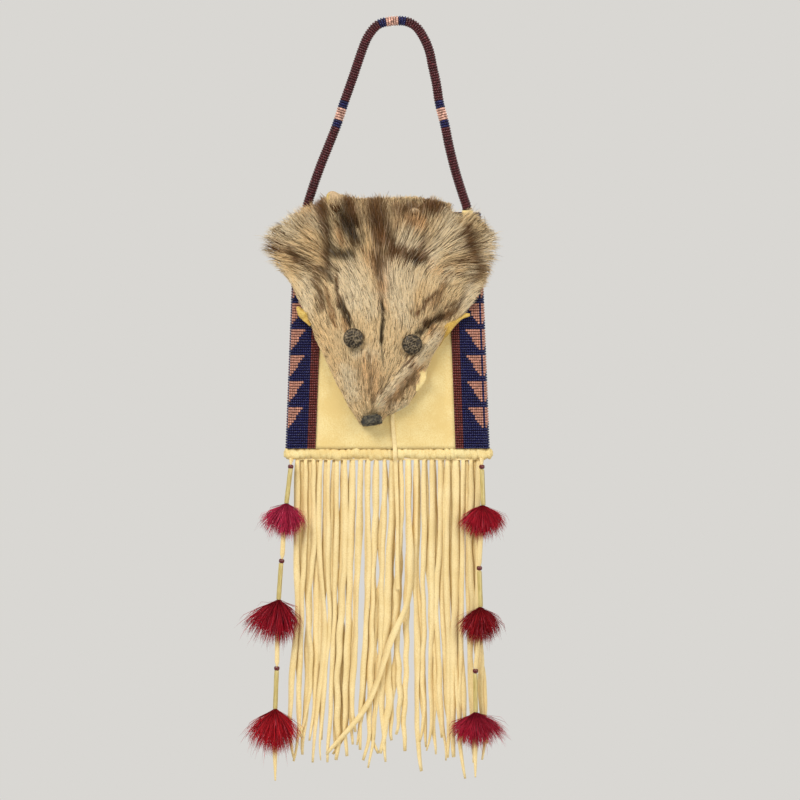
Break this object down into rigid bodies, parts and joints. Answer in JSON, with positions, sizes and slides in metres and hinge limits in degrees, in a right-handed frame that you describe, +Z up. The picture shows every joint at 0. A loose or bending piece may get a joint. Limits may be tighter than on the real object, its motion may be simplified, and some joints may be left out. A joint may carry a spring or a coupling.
{
  "type": "beaded medicine bag",
  "caption": "Flat hide pouch with beaded side strips, a fur face-skin flap, a beaded rope strap, a hide fringe and hanging tube-and-tassel drops.",
  "frame": {"origin": "underside of the strap's top, where the hook that carries the bag bears", "axes": "+Z up, +X to the right seen from the front, the beaded front faces -Y"},
  "size_m": [0.1998, 0.0333, 0.5721],
  "materials": {
    "pouch_hide": "matt suede side of pale tanned hide",
    "strip_beadwork": "loomed seed beads, mostly dark blue with pink triangles and a dark red border",
    "strap_beadwork": "seed beads stitched round a rope, dark red with blue and pink bands",
    "lacing_hide": "matt rolled hide thong",
    "fringe_hide": "matt cut hide strips",
    "fur": "soft grey-brown fur with cream streaks on its skin",
    "pewter": "dark cast pewter with a raised pattern",
    "red_glass": "glossy dark red glass, opaque",
    "straw_tube": "smooth hollow stem, olive yellow",
    "dyed_hair": "fluffy hair dyed crimson"
  },
  "bodies": {
    "pouch": {"front_panel": "pouch_hide", "back_panel": "pouch_hide", "left_beaded_strip": "strip_beadwork", "right_beaded_strip": "strip_beadwork", "bottom_lacing": "lacing_hide", "fringe_front": "fringe_hide", "fringe_back": "fringe_hide", "tie_thong": "fringe_hide", "strap": "strap_beadwork", "strap_tab_left": "lacing_hide", "strap_tab_right": "lacing_hide"},
    "flap": {"fur_flap": "fur", "left_eye_button": "pewter", "right_eye_button": "pewter"},
    "left_drop": {"left_drop_thong": "fringe_hide", "left_bead_1": "red_glass", "left_tube_1": "straw_tube", "left_tassel_1": "dyed_hair", "left_bead_2": "red_glass", "left_tube_2": "straw_tube", "left_tassel_2": "dyed_hair", "left_bead_3": "red_glass", "left_tube_3": "straw_tube", "left_tassel_3": "dyed_hair"},
    "right_drop": {"right_drop_thong": "fringe_hide", "right_bead_1": "red_glass", "right_tube_1": "straw_tube", "right_tassel_1": "dyed_hair", "right_bead_2": "red_glass", "right_tube_2": "straw_tube", "right_tassel_2": "dyed_hair", "right_bead_3": "red_glass", "right_tube_3": "straw_tube", "right_tassel_3": "dyed_hair"}
  },
  "joints": [
    {"name": "flap_hinge", "type": "hinge", "parent": "pouch", "child": "flap", "pos_m": [-0.005, 0.0033, -0.14], "axis": [-1, 0, 0], "range_deg": [0, 90]},
    {"name": "left_drop_swing", "type": "hinge", "parent": "pouch", "child": "left_drop", "pos_m": [-0.0776, -0.003, -0.3241], "axis": [-1, 0, 0], "range_deg": [0, 40]},
    {"name": "right_drop_swing", "type": "hinge", "parent": "pouch", "child": "right_drop", "pos_m": [0.0648, -0.003, -0.3241], "axis": [-1, 0, 0], "range_deg": [0, 40]}
  ]
}
